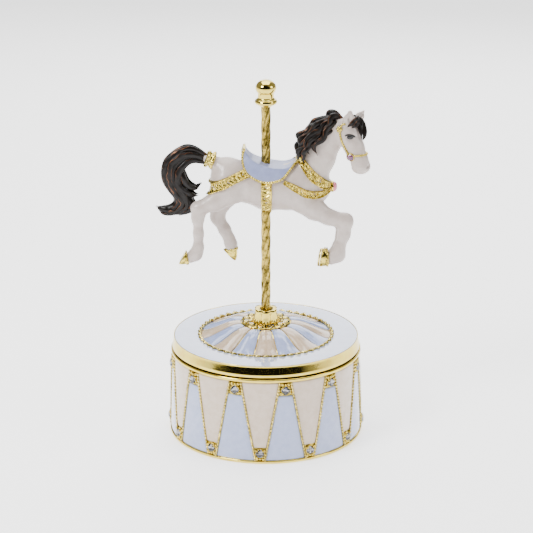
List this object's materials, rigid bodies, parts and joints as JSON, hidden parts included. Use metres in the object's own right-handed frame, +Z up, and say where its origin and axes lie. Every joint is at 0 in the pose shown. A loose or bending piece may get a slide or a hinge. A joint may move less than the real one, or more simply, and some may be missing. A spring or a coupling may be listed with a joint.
{
  "type": "carousel music box",
  "caption": "Round enamelled music box on a flat foot; its lid turns with a pole and a carousel horse, driven by a wind-up movement with a pinned cylinder and comb.",
  "frame": {"origin": "centre of the drum's foot, on the surface it stands on", "axes": "+Z up along the pole, +X the way the horse faces, -Y the side the horse shows"},
  "size_m": [0.0862, 0.0816, 0.1489],
  "materials": {
    "gold_plate": "polished",
    "antique_gold": "textured, satin",
    "cream_enamel": "gloss enamel",
    "blue_enamel": "gloss enamel",
    "crystal": "cut and polished",
    "pink_stone": "polished cabochon",
    "purple_stone": "cut and polished",
    "horse_enamel": "pearl gloss enamel",
    "mane_enamel": "gloss enamel with copper lines",
    "steel": "brushed",
    "spring_steel": "blued",
    "movement_brass": "satin"
  },
  "bodies": {
    "base": {"drum_shell": "gold_plate", "cream_panels": "cream_enamel", "blue_panels": "blue_enamel", "twisted_wires": "antique_gold", "upper_stone_cups": "gold_plate", "lower_stone_cups": "gold_plate", "upper_stones": "crystal", "lower_stones": "crystal", "base_plate": "gold_plate", "base_screws": "steel", "movement_screws": "steel", "bedplate": "steel", "spring_housing": "steel", "mainspring": "spring_steel", "comb_block": "steel", "comb": "steel", "comb_screws": "steel", "governor_cock": "steel", "cock_screw": "steel"},
    "cylinder": {"pinned_cylinder": "movement_brass", "cylinder_pins": "steel", "cylinder_arbor": "steel", "cylinder_pinion": "movement_brass", "cylinder_gear": "movement_brass"},
    "second": {"second_arbor": "movement_brass", "worm_wheel": "movement_brass"},
    "governor": {"endless_screw": "steel", "air_brake": "steel"},
    "winder": {"winding_arbor": "steel", "winding_key": "gold_plate", "clutch_spring": "spring_steel"},
    "turntable": {"drive_wheel": "movement_brass", "output_spindle": "steel", "lid_shell": "gold_plate", "lid_enamel": "blue_enamel", "canopy_cream_gores": "cream_enamel", "canopy_blue_gores": "blue_enamel", "canopy_wire": "antique_gold", "stone_ring": "gold_plate", "ring_stones": "crystal", "pole_collar": "gold_plate", "pole": "antique_gold", "finial": "gold_plate", "horse_body": "horse_enamel", "hooves": "gold_plate", "mane": "mane_enamel", "forelock": "mane_enamel", "tail": "mane_enamel", "tail_ferrule": "gold_plate", "saddle": "blue_enamel", "saddle_rim": "gold_plate", "girth_strap": "antique_gold", "breast_collar": "antique_gold", "breast_strap": "antique_gold", "crupper_strap": "antique_gold", "bridle": "gold_plate", "bridle_stones": "purple_stone", "chest_stone": "pink_stone"}
  },
  "joints": [
    {"name": "turntable_spin", "type": "hinge", "parent": "base", "child": "turntable", "pos_m": [0, 0, 0.036], "axis": [0, 0, 1], "continuous": true},
    {"name": "cylinder_spin", "type": "hinge", "parent": "base", "child": "cylinder", "pos_m": [0.018, 0, 0.0236], "axis": [1, 0, 0], "continuous": true},
    {"name": "second_arbor_spin", "type": "hinge", "parent": "base", "child": "second", "pos_m": [0.026, 0.0084, 0.0236], "axis": [1, 0, 0], "continuous": true},
    {"name": "governor_spin", "type": "hinge", "parent": "base", "child": "governor", "pos_m": [0.0274, 0.01525, 0.0236], "axis": [0, 0, 1], "continuous": true},
    {"name": "winding_key_turn", "type": "hinge", "parent": "base", "child": "winder", "pos_m": [0, 0, 0.009], "axis": [0, 0, 1], "range_deg": [0, 3330]}
  ],
  "couplings": [
    {"joint": "cylinder_spin", "follows": "turntable_spin", "ratio": -2},
    {"joint": "second_arbor_spin", "follows": "turntable_spin", "ratio": 6},
    {"joint": "governor_spin", "follows": "turntable_spin", "ratio": -90}
  ]
}
